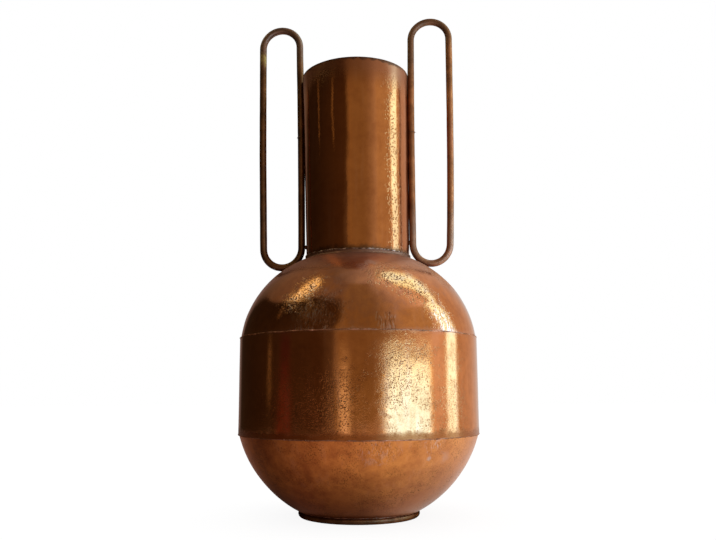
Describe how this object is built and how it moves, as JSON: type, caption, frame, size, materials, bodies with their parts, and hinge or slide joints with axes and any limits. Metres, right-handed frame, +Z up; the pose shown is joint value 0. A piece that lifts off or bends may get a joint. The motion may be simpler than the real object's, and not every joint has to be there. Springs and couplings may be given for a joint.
{
  "type": "urn vase",
  "caption": "Tall urn vase of soldered sheet copper: a round body on a ring foot, a straight open neck and long closed loops of rod as side handles.",
  "frame": {"origin": "centre of the foot ring's flat underside, on the axis of the body", "axes": "+Z up along the axis of the body, +X towards the right handle, +Y towards the upright seams at the back"},
  "size_m": [0.2368, 0.2368, 0.5145],
  "materials": {
    "sheet_copper": "satin",
    "bowl_copper": "satin",
    "rod_copper": "satin",
    "solder": "matte"
  },
  "bodies": {
    "root": {"foot_ring": "rod_copper", "foot_solder": "solder", "lower_bowl": "bowl_copper", "lower_seam_solder": "solder", "belly_band": "sheet_copper", "belly_side_solder": "solder", "upper_seam_solder": "solder", "shoulder_dome": "sheet_copper", "neck_seam_solder": "solder", "neck_tube": "sheet_copper", "neck_side_solder": "solder", "right_handle": "rod_copper", "right_handle_braze": "solder", "right_neck_tacks": "solder", "right_seat_solder": "solder", "left_handle": "rod_copper", "left_handle_braze": "solder", "left_neck_tacks": "solder", "left_seat_solder": "solder"}
  },
  "joints": []
}
